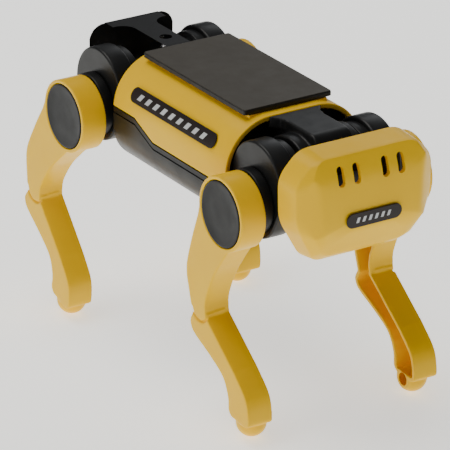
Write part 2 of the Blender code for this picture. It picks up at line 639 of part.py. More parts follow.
def leg_mesh():
    """A right-hand leg at the middle of the body, hip on the Y axis, turned to its straight pose."""
    near, far = -LEG_OUTER, -LEG_INNER
    outline = leg_outline()
    leg = object_from(prism(outline, near, far), "leg")
    join(leg, ball(FOOT_CENTRE[0], -FOOT_MIDDLE, FOOT_CENTRE[1], FOOT_RADIUS))
    cut(leg, prism(rectangle((-0.03, -0.10), (0.03, 0.03)), far, far + 0.01))
    cavity = object_from(prism(inset_outline(outline, LEG_WALL), near + LEG_WALL, far + 0.01), "cavity")
    cut(cavity, prism(circle((0.0, 0.0), LEG_RING - 0.0002, 24), near - 0.01, far + 0.02))
    cut(leg, taken(cavity))
    rib_thickness = 0.0012
    rib_bottom = KNEE[1] + 0.0002
    rib = rectangle((KNEE[0] - 0.0045, rib_bottom), (KNEE[0] + 0.0003, rib_bottom + rib_thickness))
    join(leg, prism(rib, near + LEG_WALL / 2, far - 0.0020))
    ring_room = LEG_RING - 0.0018
    cut(leg, prism(circle((0.0, 0.0), CAP_RADIUS + GAP, 28), near - 0.01, near + CAP_THICKNESS + GAP),
        prism(circle((0.0, 0.0), ring_room, 24), near + 0.0045, far + 0.01))
    join(leg, prism(circle((0.0, 0.0), 0.0042, 12), near + 0.0040, far))
    cut(leg, prism(circle((0.0, 0.0), BORE_RADIUS, 12), near + 0.0035, far + 0.01),
        prism(circle((0.0, 0.0), 0.0031, 12), near, near + 0.0036),
        ball(FOOT_CENTRE[0], -FOOT_MIDDLE + 0.0004, FOOT_CENTRE[1] - 0.0002, FOOT_RADIUS - 0.0013))
    cup_centre, cup_radius, cup_width = (-0.0134, -0.0418), 0.0062, 0.0009
    groove = arc(cup_centre, cup_radius, 195, 350, 7)
    groove += arc(cup_centre, cup_radius - cup_width, 350, 195, 7)
    notch = [(KNEE[0] - 0.0006, KNEE[1] + 0.0022), (KNEE[0] + 0.0060, KNEE[1] + 0.0010),
             (KNEE[0] + 0.0012, KNEE[1] - 0.0006)]
    cut(leg, prism(groove, near - 0.01, near + 0.0009), prism(notch, near - 0.01, near + 0.0040))
    return taken(leg)


def place_on_hip(mesh, end, side_name):
    """Copy a mesh made at the middle of the body to one hip, mirrored for the left side."""
    copy = mesh.copy()
    centre = frame_point(0.0, 0.0, 0.0)
    if side_name == "left":
        bmesh.ops.scale(copy, vec=(1.0, -1.0, 1.0), verts=copy.verts)
        bmesh.ops.reverse_faces(copy, faces=copy.faces)
    turn = Matrix.Rotation(math.radians(LEG_TURN["%s_%s" % (end, side_name)]), 4, "Y")
    bmesh.ops.transform(copy, matrix=turn, space=Matrix.Translation(-centre), verts=copy.verts)
    bmesh.ops.translate(copy, vec=(HIP_X[end], 0.0, 0.0), verts=copy.verts)
    return copy


def make_legs():
    leg = leg_mesh()
    for end, x in HIP_X.items():
        hip = frame_point(x, 0.0, 0.0)
        for side_name, side in SIDE_Y.items():
            label = "%s_%s" % (end, side_name)
            finish(object_from(place_on_hip(leg, end, side_name), "leg_" + label), "yellow_plastic", hip)
            low, high = span(side, LEG_OUTER - CAP_THICKNESS, LEG_OUTER)
            edge = (LEG_OUTER - 0.0003) * side
            rims = [(side * (LEG_OUTER - CAP_THICKNESS), circle((x, 0.0), CAP_RADIUS, 28)),
                    (edge, circle((x, 0.0), CAP_RADIUS, 28)),
                    (side * LEG_OUTER, circle((x, 0.0), CAP_RADIUS - 0.0003, 28))]
            finish(object_from(loft(rims), "hip_cap_" + label), "black_plastic", hip)
            head = rod(x, 0.0, 0.0028, *span(side, LEG_OUTER - 0.0033, LEG_OUTER - 0.0019), 12)
            finish(object_from(head, "leg_screw_" + label), "steel", hip)
    leg.free()


def make_axles():
    for end, x in HIP_X.items():
        reach = LEG_OUTER - 0.0037
        finish(object_from(rod(x, 0.0, AXLE_RADIUS, -reach, reach), end + "_axle"), "steel",
               frame_point(x, 0.0, 0.0))


# ---------------------------------------------------------------- gears
PRESSURE_ANGLE = math.radians(20.0)
ADDENDUM = 0.85                 # in modules
DEDENDUM = 1.15
BACKLASH = 0.16


def involute(angle):
    return math.tan(angle) - angle


def gear_outline(centre, module, teeth, phase):
    """Spur gear outline with involute flanks; a tooth is centred on the phase angle."""
    pitch = module * teeth / 2
    base = pitch * math.cos(PRESSURE_ANGLE)
    tip = pitch + ADDENDUM * module
    root = pitch - DEDENDUM * module
    half_at_pitch = math.pi / (2 * teeth) - BACKLASH * module / (2 * pitch)

    def half_angle(radius):
        radius = max(radius, base)
        return half_at_pitch + involute(PRESSURE_ANGLE) - involute(math.acos(base / radius))

    flank = [root, pitch, tip] if module >= DRIVE_MODULE else [root, tip]
    points = []
    for tooth in range(teeth):
        middle = phase + 2 * math.pi * tooth / teeth
        for radius in flank:
            angle = middle - half_angle(radius)
            points.append((centre[0] + radius * math.cos(angle), centre[1] + radius * math.sin(angle)))
        for radius in reversed(flank):
            angle = middle + half_angle(radius)
            points.append((centre[0] + radius * math.cos(angle), centre[1] + radius * math.sin(angle)))
    return points


def meshing_phase(first, second, first_teeth, second_teeth, first_phase):
    """Phase that puts a gap of the second gear on the tooth line of the first."""
    direction = math.atan2(second[1] - first[1], second[0] - first[0])
    turned = (first_phase - direction) * first_teeth / second_teeth
    return direction + math.pi - turned + math.pi / second_teeth


def make_gear(name, centre, stages, bore, finish_name="gear_plastic", hub=None):
    """A gear of one or more toothed stages on one axis; stages are (module, teeth, phase, low, high)."""
    wheels = [prism(gear_outline(centre, module, teeth, phase), low, high)
              for module, teeth, phase, low, high in stages]
    if hub:
        wheels.append(rod(centre[0], centre[1], *hub))
    item = object_from(wheels[0], name)
    join(item, *wheels[1:])
    cut(item, rod(centre[0], centre[1], bore, -0.05, 0.05))
    finish(item, finish_name, frame_point(centre[0], 0.0, centre[1]))


PLATE_INNER, PLATE_OUTER = 0.0037, 0.0049
PIN_REACH = 0.0058              # half length of the pins that carry the idlers
DRIVE_HUB_RADIUS = 0.0034
ARBOR_RADIUS = 0.0008
INPUT_STAGE = (-0.0085, -0.0058)
OUTER_STAGE = (-0.0252, -0.0232)
MOTOR_BACK, MOTOR_FACE = -0.0090, -0.0212
MOTOR_CAP_INNER = -0.0110
MOTOR_HALF_WIDTH, MOTOR_HALF_HEIGHT = 0.0050, 0.0060
MOUNT_PLATE = (-0.0226, -0.0215)


def make_gear_train():
    drive = (0.0, CHAIN_HEIGHT)
    idlers = {"front": (IDLER_X, CHAIN_HEIGHT), "rear": (-IDLER_X, CHAIN_HEIGHT)}
    width = (-GEAR_HALF_WIDTH, GEAR_HALF_WIDTH)
    drive_phase = math.radians(90.0)
    reduction = (REDUCTION_X, REDUCTION_HEIGHT)
    motor = (MOTOR_X, REDUCTION_HEIGHT)
    make_gear("drive_gear", drive, [(DRIVE_MODULE, CHAIN_TEETH, drive_phase, *width),
                                    (MOTOR_MODULE, INPUT_TEETH, drive_phase, *INPUT_STAGE)],
              BORE_RADIUS, hub=(DRIVE_HUB_RADIUS, INPUT_STAGE[0], 0.0))
    for end, idler in idlers.items():
        idler_phase = meshing_phase(drive, idler, CHAIN_TEETH, CHAIN_TEETH, drive_phase)
        make_gear(end + "_idler_gear", idler, [(DRIVE_MODULE, CHAIN_TEETH, idler_phase, *width)], BORE_RADIUS)
        axle = (HIP_X[end], 0.0)
        axle_phase = meshing_phase(idler, axle, CHAIN_TEETH, AXLE_TEETH, idler_phase)
        make_gear(end + "_axle_gear", axle, [(DRIVE_MODULE, AXLE_TEETH, axle_phase, *width)],
                  AXLE_RADIUS + GAP / 3)
    small_phase = meshing_phase(drive, reduction, INPUT_TEETH, REDUCTION_SMALL_TEETH, drive_phase)
    make_gear("reduction_gear", reduction,
              [(MOTOR_MODULE, REDUCTION_LARGE_TEETH, small_phase, *OUTER_STAGE),
               (MOTOR_MODULE, REDUCTION_SMALL_TEETH, small_phase, *INPUT_STAGE)],
              ARBOR_RADIUS + GAP / 3, hub=(0.0022, OUTER_STAGE[0], INPUT_STAGE[1]))
    pinion_phase = meshing_phase(reduction, motor, REDUCTION_LARGE_TEETH, PINION_TEETH, small_phase)
    make_gear("motor_pinion", motor, [(MOTOR_MODULE, PINION_TEETH, pinion_phase, *OUTER_STAGE)],
              0.00058, "brass")
    return idlers, drive, reduction, motor


def make_gear_supports(idlers, drive, reduction, motor):
    plate = rounded_rectangle((-0.0345, -0.0100), (0.0345, 0.0205), 0.0030)
    pin_hole = AXLE_RADIUS + GAP
    for side_name, side in SIDE_Y.items():
        holes = [rod(x, z, pin_hole, -0.05, 0.05) for x, z in idlers.values()]
        if side_name == "left":
            holes.append(rod(*drive, pin_hole, -0.05, 0.05))
        else:
            holes.append(rod(*drive, DRIVE_HUB_RADIUS + 2 * GAP, -0.05, 0.05, 16))
            holes.append(rod(*reduction, ARBOR_RADIUS + GAP, -0.05, 0.05))
        build("gear_frame_" + side_name, "black_plastic", prism(plate, *span(side, PLATE_INNER, PLATE_OUTER)),
              cuts=holes)
    for end, (x, z) in idlers.items():
        finish(object_from(rod(x, z, AXLE_RADIUS, -PIN_REACH, PIN_REACH), end + "_idler_pin"), "steel")
    finish(object_from(rod(*drive, AXLE_RADIUS, -0.0087, PIN_REACH), "drive_pin"), "steel")
    finish(object_from(rod(*reduction, ARBOR_RADIUS, -0.0262, -0.0030), "reduction_arbor"), "steel")
    mount = rounded_rectangle((reduction[0] + 0.0026, -0.0100), (motor[0] + 0.0060, 0.0173), 0.0015)
    post_places = [(reduction[0] + 0.0044, -0.0083), (reduction[0] + 0.0044, 0.0155)]
    posts = [rod(x, z, 0.0014, MOUNT_PLATE[0] + 0.0005, -PLATE_OUTER - GAP, 10) for x, z in post_places]
    build("motor_mount", "black_plastic", prism(mount, *MOUNT_PLATE), joins=posts,
          cuts=[rod(motor[0], motor[1], 0.0020, -0.05, MOTOR_FACE + 0.001, 12)])


def make_motor(motor):
    can = rounded_rectangle((motor[0] - MOTOR_HALF_WIDTH, motor[1] - MOTOR_HALF_HEIGHT),
                            (motor[0] + MOTOR_HALF_WIDTH, motor[1] + MOTOR_HALF_HEIGHT), 0.0030)
    nose = rod(motor[0], motor[1], 0.0016, MOTOR_FACE - 0.0008, MOTOR_FACE + 0.0010, 12)
    build("motor_can", "steel", prism(can, MOTOR_FACE, MOTOR_CAP_INNER), joins=[nose],
          cuts=[rod(motor[0], motor[1], 0.0008, -0.05, MOTOR_FACE + 0.0060, 12)])
    build("motor_end_cap", "gear_plastic", prism(can, MOTOR_CAP_INNER + GAP, MOTOR_BACK))
    shaft = rod(motor[0], motor[1], 0.00050, OUTER_STAGE[0] - 0.0003, MOTOR_FACE + 0.0055, 12)
    build("motor_shaft", "steel", shaft, axis_point=frame_point(motor[0], 0.0, motor[1]))


# ---------------------------------------------------------------- wiring and screws
def wire(name, finish_name, keys):
    curve = bpy.data.curves.new(name, "CURVE")
    curve.dimensions = "3D"
    curve.bevel_depth = WIRE_RADIUS
    curve.bevel_resolution = 1
    curve.use_fill_caps = True
    spline = curve.splines.new("POLY")
    points = smooth_line(keys, 4)
    spline.points.add(len(points) - 1)
    for place, point in zip(spline.points, points):
        place.co = (*frame_point(*point), 1.0)
    item = bpy.data.objects.new(name, curve)
    bpy.context.scene.collection.objects.link(item)
    curve.materials.append(material(finish_name))


def make_wires():
    """Two leads from the panel's underside, down through the shell, to the motor's end cap."""
    for index, (name, finish_name) in enumerate((("panel_wire_red", "wire_red"),
                                                 ("panel_wire_black", "wire_black"))):
        shift = (index - 0.5) * 0.0022
        x = WIRE_X + shift
        terminal = (MOTOR_X + shift * 1.6, (MOTOR_BACK + MOTOR_CAP_INNER) / 2,
                    REDUCTION_HEIGHT + MOTOR_HALF_HEIGHT)
        wire(name, finish_name, [(x, WIRE_Y, BODY_TOP), (x, WIRE_Y, 0.0205),
                                 (x - 0.0030, WIRE_Y, 0.0165),
                                 (terminal[0], terminal[1] - 0.0010, terminal[2] + 0.0035),
                                 (terminal[0], terminal[1], terminal[2] + GAP)])


def screw(x, y, low, high, head_radius, head_height, axis="z"):
    """A pan-head screw standing on its head at the low end, or hanging from it at the high end."""
    shank = prism(circle((x, y), 0.0010, 10), min(low, high), max(low, high), axis)
    down = 1.0 if high > low else -1.0
    head = sorted((high - down * head_height, high))
    body = object_from(shank, "screw")
    join(body, prism(circle((x, y), head_radius, 14), *head, axis))
    return taken(body)


def make_screws():
    for end, (x, y) in SHELL_SCREW_PLACES.items():
        belly = screw(x, y, BODY_BOTTOM + 0.0034, BODY_BOTTOM + 0.0001, 0.0027, 0.0009)
        finish(object_from(belly, "belly_screw_" + end), "steel")
    tail = screw(TAIL_HOLE_X, 0.0, BRACKET_TOP - 0.0045, BRACKET_TOP - 0.0030, 0.0019, 0.0014)
    finish(object_from(tail, "tail_screw"), "steel")


def main():
    clear_scene()
    make_upper_shell()
    make_lower_shell()
    make_solar_panel()
    make_side_badges()
    make_head()
    make_front_bracket()
    make_rear_bracket()
    make_hip_housings()
    make_axle_bushes()
    make_legs()
    make_axles()
    idlers, drive, reduction, motor = make_gear_train()
    make_gear_supports(idlers, drive, reduction, motor)
    make_motor(motor)
    make_wires()
    make_screws()


main()
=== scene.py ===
"""Studio picture of a solar robot dog toy: yellow shells and legs, black brackets and hips."""
import json
import math

import bmesh
import bpy
from mathutils import Matrix, Vector


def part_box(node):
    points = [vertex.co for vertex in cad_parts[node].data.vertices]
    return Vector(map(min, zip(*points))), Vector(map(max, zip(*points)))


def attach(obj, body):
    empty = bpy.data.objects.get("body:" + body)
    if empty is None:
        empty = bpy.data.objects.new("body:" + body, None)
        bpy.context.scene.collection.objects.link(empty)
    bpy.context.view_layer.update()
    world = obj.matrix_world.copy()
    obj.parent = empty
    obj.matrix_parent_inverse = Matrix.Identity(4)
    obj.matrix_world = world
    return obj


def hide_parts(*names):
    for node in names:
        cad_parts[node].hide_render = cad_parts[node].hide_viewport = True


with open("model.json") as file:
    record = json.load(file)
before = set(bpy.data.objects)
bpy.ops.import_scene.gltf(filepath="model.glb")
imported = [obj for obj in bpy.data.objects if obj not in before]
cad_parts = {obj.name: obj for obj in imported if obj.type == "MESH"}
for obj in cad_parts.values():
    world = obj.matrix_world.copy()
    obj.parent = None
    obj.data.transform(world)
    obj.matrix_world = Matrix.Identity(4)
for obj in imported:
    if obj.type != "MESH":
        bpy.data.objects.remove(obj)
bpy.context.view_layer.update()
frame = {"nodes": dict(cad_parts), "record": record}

# ---------------------------------------------------------------- places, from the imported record
JOINTS = {joint["name"]: joint for joint in frame["record"]["behaviour"]["joints"]}
HIPS = {"front": Vector(JOINTS["front_legs_turn"]["pos_m"]),
        "rear": Vector(JOINTS["rear_legs_turn"]["pos_m"])}
MIDDLE = (HIPS["front"] + HIPS["rear"]) / 2      # halfway between the axles; shapes are measured from here
HIP_X = {end: (hip - MIDDLE).x for end, hip in HIPS.items()}
SIDES = {"right": -1.0, "left": 1.0}
LABELS = ["%s_%s" % (end, side) for end in HIP_X for side in SIDES]


def place(along, across, up):
    """World position of a point measured from the middle of the axles."""
    return MIDDLE + Vector((along, across, up))


def node_span(node, axis):
    """Lowest and highest place of a CAD node along one axis (0, 1 or 2), from the middle of the axles."""
    low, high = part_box(node)
    return low[axis] - MIDDLE[axis], high[axis] - MIDDLE[axis]


# ---------------------------------------------------------------- sizes (metres)
GAP = 0.0003
WALL = 0.0020
BODY_REAR, BODY_FRONT = node_span("upper_shell", 0)
BODY_HALF_WIDTH = node_span("upper_shell", 1)[1]
BODY_TOP = node_span("upper_shell", 2)[1]
BODY_BOTTOM = node_span("lower_shell", 2)[0]
SHOULDER_RADIUS = 0.0197
BELLY_RADIUS = 0.0150
STEP = [(-0.0230, 0.0077), (-0.0100, 0.0022)]    # the yellow side's edge drops between these points
WALL_FACE = 0.0376                               # outside of the black end walls
LEG_INNER, LEG_OUTER = 0.0315, 0.0420
LEG_RING = 0.0143
LEG_WALL = 0.0016
CAP_RADIUS = 0.01255
CAP_THICKNESS = 0.0014
LEG_TURN = {"front_right": 0.0, "front_left": -0.5, "rear_right": 12.9, "rear_left": 6.9}
KNEE = (-0.0093, -0.0445)
FOOT = (0.0126, -0.0358, -0.0791)
FOOT_RADIUS = 0.0058
BRACKET_TOP = node_span("front_bracket", 2)[1]
BRACKET_BOTTOM = node_span("front_bracket", 2)[0]
HUB_HEIGHT, HUB_RADIUS, HUB_LOW_RADIUS = 0.0083, 0.0162, 0.0126
HUB_HALF_WIDTH = 0.0133
SLOT_HALF_WIDTH = 0.0036
CHAIN_HEIGHT, CHAIN_RADIUS = 0.0050, 0.0150
AXLE_GEAR_ROOM = 0.0118
BUSH_RADIUS = 0.0032
BORE_RADIUS = 0.00158                            # round the axles, in hips and legs


# ---------------------------------------------------------------- outlines
def arc(centre, radius, start, end, steps):
    angles = [math.radians(start + (end - start) * step / steps) for step in range(steps + 1)]
    return [(centre[0] + radius * math.cos(a), centre[1] + radius * math.sin(a)) for a in angles]


def circle(centre, radius, steps=72):
    return arc(centre, radius, 0.0, 360.0, steps)[:-1]


def rectangle(low, high):
    return [(low[0], low[1]), (high[0], low[1]), (high[0], high[1]), (low[0], high[1])]


def rounded_corners(corners, radius, steps=8):
    """Replace every corner of a closed outline by a small curve."""
    points = []
    for index, corner in enumerate(corners):
        here = Vector(corner)
        before = Vector(corners[index - 1]) - here
        after = Vector(corners[(index + 1) % len(corners)]) - here
        start = here + before.normalized() * min(radius, before.length * 0.45)
        end = here + after.normalized() * min(radius, after.length * 0.45)
        for step in range(steps + 1):
            t = step / steps
            points.append(tuple((1 - t) ** 2 * start + 2 * t * (1 - t) * here + t ** 2 * end))
    return points


def inset(outline, distance):
    """Move a closed, counter-clockwise outline inwards."""
    moved = []
    for index, corner in enumerate(outline):
        here = Vector(corner)
        first = (here - Vector(outline[index - 1])).normalized()
        second = (Vector(outline[(index + 1) % len(outline)]) - here).normalized()
        normal = Vector((-first.y - second.y, first.x + second.x)).normalized()
        stretch = max(normal.dot(Vector((-first.y, first.x))), 0.5)
        moved.append(tuple(here + normal * (distance / stretch)))
    return moved


def smooth_line(keys, steps=8):
    """A Catmull-Rom curve through the key points."""
    keys = [Vector(key) for key in keys]
    padded = [2 * keys[0] - keys[1]] + keys + [2 * keys[-1] - keys[-2]]
    points = []
    for a, b, c, d in zip(padded, padded[1:], padded[2:], padded[3:]):
        for step in range(steps):
            t = step / steps
            points.append(0.5 * (2 * b + (c - a) * t + (2 * a - 5 * b + 4 * c - d) * t ** 2
                                 + (3 * b - 3 * c + d - a) * t ** 3))
    points.append(keys[-1])
    return [tuple(point) for point in points]


def egg(x, shrink=0.0, steps=48):
    """Round top over a smaller round bottom, the side view of a hip housing."""
    lean = math.degrees(math.asin((HUB_RADIUS - HUB_LOW_RADIUS) / HUB_HEIGHT))
    return (arc((x, HUB_HEIGHT), HUB_RADIUS - shrink, -lean, 180 + lean, steps)
            + arc((x, 0.0), HUB_LOW_RADIUS - shrink, 180 + lean, 360 - lean, steps * 2 // 3))


def stadium(low, high, middle, radius, steps=24):
    """A bar with round ends, as an outline."""
    right_end = arc((high - radius, middle), radius, -90, 90, steps)
    return right_end + arc((low + radius, middle), radius, 90, 270, steps)


def span(side, inner, outer):
    return sorted((side * inner, side * outer))


# ---------------------------------------------------------------- solids
AXES = {"x": lambda u, v, level: (level, u, v),
        "y": lambda u, v, level: (u, level, v),
        "z": lambda u, v, level: (u, v, level)}


def new_object(name, mesh):
    data = bpy.data.meshes.new(name)
    mesh.to_mesh(data)
    mesh.free()
    item = bpy.data.objects.new(name, data)
    bpy.context.scene.collection.objects.link(item)
    return item


def loft(name, sections, axis="y"):
    """A closed body through outlines with the same number of points; sections are (level, outline)."""
    mesh = bmesh.new()
    rings = [[mesh.verts.new(place(*AXES[axis](u, v, level))) for u, v in outline]
             for level, outline in sections]
    count = len(rings[0])
    for near, far in zip(rings, rings[1:]):
        for index in range(count):
            after = (index + 1) % count
            mesh.faces.new((near[index], near[after], far[after], far[index]))
    mesh.faces.new(rings[0])
    mesh.faces.new(rings[-1])
    bmesh.ops.recalc_face_normals(mesh, faces=mesh.faces)
    return new_object(name, mesh)


def prism(name, outline, low, high, axis="y"):
    return loft(name, [(low, outline), (high, outline)], axis)


def rounded_prism(name, outline, low, high, radius, axis="y", steps=5):
    """A prism with rounded end edges."""
    sections = [(low, inset(outline, radius + GAP))]
    for step in range(steps + 1):
        angle = math.radians(90.0 * step / steps)
        edge = inset(outline, radius * (1 - math.sin(angle)))
        sections.append((low + radius * (1 - math.cos(angle)), edge))
    for step in range(steps, -1, -1):
        angle = math.radians(90.0 * step / steps)
        edge = inset(outline, radius * (1 - math.sin(angle)))
        sections.append((high - radius * (1 - math.cos(angle)), edge))
    sections.append((high, inset(outline, radius + GAP)))
    return loft(name, sections, axis)


def apply_modifiers(item):
    bpy.context.view_layer.update()
    result = bpy.data.meshes.new_from_object(item.evaluated_get(bpy.context.evaluated_depsgraph_get()))
    item.modifiers.clear()
    old = item.data
    item.data = result
    bpy.data.meshes.remove(old)


def combine(item, operation, tools):
    for tool in tools:
        change = item.modifiers.new("combine", "BOOLEAN")
        change.operation = operation
        change.solver = "EXACT"
        change.object = tool
        apply_modifiers(item)
        bpy.data.objects.remove(tool, do_unlink=True)
    return item


def cut(item, *tools):
    return combine(item, "DIFFERENCE", tools)


def join(item, *tools):
    return combine(item, "UNION", tools)


def soften(item, voxel, rounds):
    """Remesh finely and smooth, which rounds every edge and blends every inside corner a little."""
    remesh = item.modifiers.new("remesh", "REMESH")
    remesh.mode = "VOXEL"
    remesh.voxel_size = voxel
    apply_modifiers(item)
    smooth = item.modifiers.new("smooth", "SMOOTH")
    smooth.factor = 0.5
    smooth.iterations = rounds
    apply_modifiers(item)
    return item


def finish(item, material, body, nodes, sharp=32.0):
    """Shade a piece, paint it, hang it on its body and let it stand for its CAD nodes."""
    mesh = bmesh.new()
    mesh.from_mesh(item.data)
    bmesh.ops.remove_doubles(mesh, verts=mesh.verts, dist=0.000002)
    mesh.to_mesh(item.data)
    mesh.free()
    item.data.materials.clear()
    item.data.materials.append(material)
    item.data.shade_smooth()
    item.data.set_sharp_from_angle(angle=math.radians(sharp))
    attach(item, body)
    if nodes:
        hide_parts(*nodes)
    return item


# ---------------------------------------------------------------- materials
def node(tree, kind, **values):
    made = tree.nodes.new(kind)
    for name, value in values.items():
        made.inputs[name.replace("_", " ")].default_value = value
    return made


def noise(tree, scale, detail=3.0):
    """Noise over the object's own coordinates."""
    coordinates = tree.nodes.new("ShaderNodeTexCoord")
    texture = node(tree, "ShaderNodeTexNoise", Scale=scale, Detail=detail)
    tree.links.new(coordinates.outputs["Object"], texture.inputs["Vector"])
    return texture.outputs["Fac"]


def spread(tree, source, low, high, start=0.3, end=0.7):
    """Map a 0 to 1 pattern to a range of values."""
    ranged = tree.nodes.new("ShaderNodeMapRange")
    ranged.inputs["From Min"].default_value = start
    ranged.inputs["From Max"].default_value = end
    ranged.inputs["To Min"].default_value = low
    ranged.inputs["To Max"].default_value = high
    tree.links.new(source, ranged.inputs["Value"])
    return ranged.outputs["Result"]


def make_material(name, colour, other, roughness, grain, bump, metallic=0.0, shine=0.5, scatter=0.0):
    """Moulded plastic or metal: mottled colour, uneven gloss and a fine grain.

    colour and other are the two tones that the mottling runs between, roughness its lowest and highest
    value, grain the number of bumps to a metre, bump their strength and shine how much light glances off.
    """
    made = bpy.data.materials.new(name)
    made.use_nodes = True
    tree = made.node_tree
    shader = tree.nodes["Principled BSDF"]
    shader.inputs["Metallic"].default_value = metallic
    shader.inputs["Specular IOR Level"].default_value = shine
    shader.inputs["Subsurface Weight"].default_value = scatter
    shader.inputs["Subsurface Scale"].default_value = 0.002
    shader.inputs["Subsurface Radius"].default_value = (1.0, 0.45, 0.08)
    tone = tree.nodes.new("ShaderNodeMix")
    tone.data_type = "RGBA"
    tone.inputs["A"].default_value = (*colour, 1.0)
    tone.inputs["B"].default_value = (*other, 1.0)
    tree.links.new(spread(tree, noise(tree, 70.0), 0.0, 1.0), tone.inputs["Factor"])
    tree.links.new(tone.outputs["Result"], shader.inputs["Base Color"])
    tree.links.new(spread(tree, noise(tree, 180.0), *roughness), shader.inputs["Roughness"])
    relief = node(tree, "ShaderNodeBump", Strength=bump, Distance=0.0001)
    tree.links.new(noise(tree, grain, 2.0), relief.inputs["Height"])
    tree.links.new(relief.outputs["Normal"], shader.inputs["Normal"])
    return made


def floor_material():
    made = bpy.data.materials.new("floor_paper")
    made.use_nodes = True
    tree = made.node_tree
    shader = tree.nodes["Principled BSDF"]
    shader.inputs["Roughness"].default_value = 0.9
    shader.inputs["Specular IOR Level"].default_value = 0.1
    shader.inputs["Emission Color"].default_value = (1.0, 1.0, 0.98, 1.0)
    shader.inputs["Emission Strength"].default_value = 1.0
    tone = tree.nodes.new("ShaderNodeMix")
    tone.data_type = "RGBA"
    tone.inputs["A"].default_value = (0.88, 0.89, 0.87, 1.0)
    tone.inputs["B"].default_value = (0.86, 0.87, 0.85, 1.0)
    tree.links.new(noise(tree, 12.0), tone.inputs["Factor"])
    tree.links.new(tone.outputs["Result"], shader.inputs["Base Color"])
    return made


YELLOW = make_material("yellow_abs", (1.0, 0.60, 0.0), (0.97, 0.57, 0.0), (0.28, 0.38), 2600.0, 0.05,
                       shine=0.18)
BLACK = make_material("black_abs", (0.008, 0.0085, 0.009), (0.012, 0.0125, 0.013), (0.30, 0.40), 2200.0, 0.10,
                      shine=0.26)
CAP_BLACK = make_material("cap_black", (0.006, 0.0065, 0.007), (0.009, 0.0095, 0.010),
                          (0.40, 0.50), 3200.0, 0.12, shine=0.22)
CELL = make_material("solar_cell_face", (0.056, 0.050, 0.041), (0.066, 0.060, 0.050),
                     (0.42, 0.52), 1500.0, 0.05, shine=0.25)
CELL_EDGE = make_material("solar_cell_edge", (0.010, 0.010, 0.010), (0.015, 0.015, 0.014),
                          (0.42, 0.55), 1500.0, 0.1, shine=0.3)
FILM = make_material("badge_film_dark", (0.016, 0.010, 0.009), (0.020, 0.014, 0.012),
                     (0.38, 0.46), 2400.0, 0.04, shine=0.3)
MARK = make_material("badge_mark_pale", (0.62, 0.63, 0.64), (0.55, 0.56, 0.57), (0.40, 0.50), 2400.0, 0.04)
STEEL = make_material("bright_steel", (0.60, 0.60, 0.61), (0.50, 0.50, 0.51),
                      (0.22, 0.36), 4000.0, 0.08, metallic=1.0)
BRASS = make_material("turned_brass", (0.72, 0.50, 0.20), (0.62, 0.42, 0.16),
                      (0.24, 0.36), 4000.0, 0.08, metallic=1.0)
NYLON = make_material("natural_nylon", (0.78, 0.76, 0.68), (0.72, 0.70, 0.62), (0.38, 0.50), 2500.0, 0.08,
                      scatter=0.06)
RED_WIRE = make_material("red_insulation", (0.60, 0.016, 0.014), (0.50, 0.012, 0.010),
                         (0.32, 0.42), 2500.0, 0.06)
BLACK_WIRE = make_material("black_insulation", (0.020, 0.020, 0.021), (0.030, 0.030, 0.031),
                           (0.32, 0.42), 2500.0, 0.06)
SLOT_MATERIALS = {"yellow_plastic": YELLOW, "black_plastic": BLACK, "panel_face": CELL, "badge_film": FILM,
                  "steel": STEEL, "brass": BRASS, "gear_plastic": NYLON, "wire_red": RED_WIRE,
                  "wire_black": BLACK_WIRE}

# Every CAD piece gets its material; the finer pieces below then stand for the ones that show most
for entry in frame["record"]["subparts"]:
    cad = frame["nodes"][entry["node"]]
    for cad_slot in cad.material_slots:
        cad_slot.material = SLOT_MATERIALS[entry["material_slot"]]


# ---------------------------------------------------------------- camera, light and floor
CAMERA_PLACE = (1.1664, -0.7649, 0.5779)         # from the middle of the axles
CAMERA_AZIMUTH, CAMERA_ELEVATION, CAMERA_ROLL = 56.88, 23.70, 0.51
CAMERA_LENS = 321.4                              # millimetres, on a sensor 36 wide


def make_camera():
    data = bpy.data.cameras.new("photo_camera")
    data.lens = CAMERA_LENS
    data.sensor_width = 36.0
    data.clip_start = 0.05
    data.clip_end = 20.0
    camera = bpy.data.objects.new("photo_camera", data)
    turn = (Matrix.Rotation(math.radians(CAMERA_AZIMUTH), 4, "Z")
            @ Matrix.Rotation(math.radians(90.0 - CAMERA_ELEVATION), 4, "X")
            @ Matrix.Rotation(math.radians(CAMERA_ROLL), 4, "Z"))
    camera.matrix_world = Matrix.Translation(place(*CAMERA_PLACE)) @ turn
    bpy.context.scene.collection.objects.link(camera)
    bpy.context.scene.camera = camera


def make_light(name, position, size, power, colour):
    data = bpy.data.lights.new(name, "AREA")
    data.shape = "DISK"
    data.size = size
    data.energy = power
    data.color = colour
    light = bpy.data.objects.new(name, data)
    light.location = Vector(position)
    light.rotation_euler = (Vector((0.0, 0.0, 0.05)) - Vector(position)).to_track_quat("-Z", "Y").to_euler()
    bpy.context.scene.collection.objects.link(light)


def make_studio():
    mesh = bmesh.new()
    bmesh.ops.create_grid(mesh, x_segments=8, y_segments=8, size=4.0)
    floor = new_object("floor", mesh)
    floor.data.materials.append(floor_material())
    make_light("overhead_softbox", (-0.40, -0.25, 1.30), 1.1, 11.0, (1.0, 0.97, 0.92))
    make_light("left_softbox", (-0.15, -1.35, 0.70), 0.9, 3.2, (1.0, 0.97, 0.92))
    make_light("rear_softbox", (-0.80, 1.00, 0.80), 0.8, 2.0, (0.95, 0.98, 1.0))
    world = bpy.data.worlds.new("studio_air")
    world.use_nodes = True
    background = world.node_tree.nodes["Background"]
    background.inputs["Color"].default_value = (0.95, 0.97, 1.0, 1.0)
    background.inputs["Strength"].default_value = 0.14
    bpy.context.scene.world = world


make_camera()
make_studio()


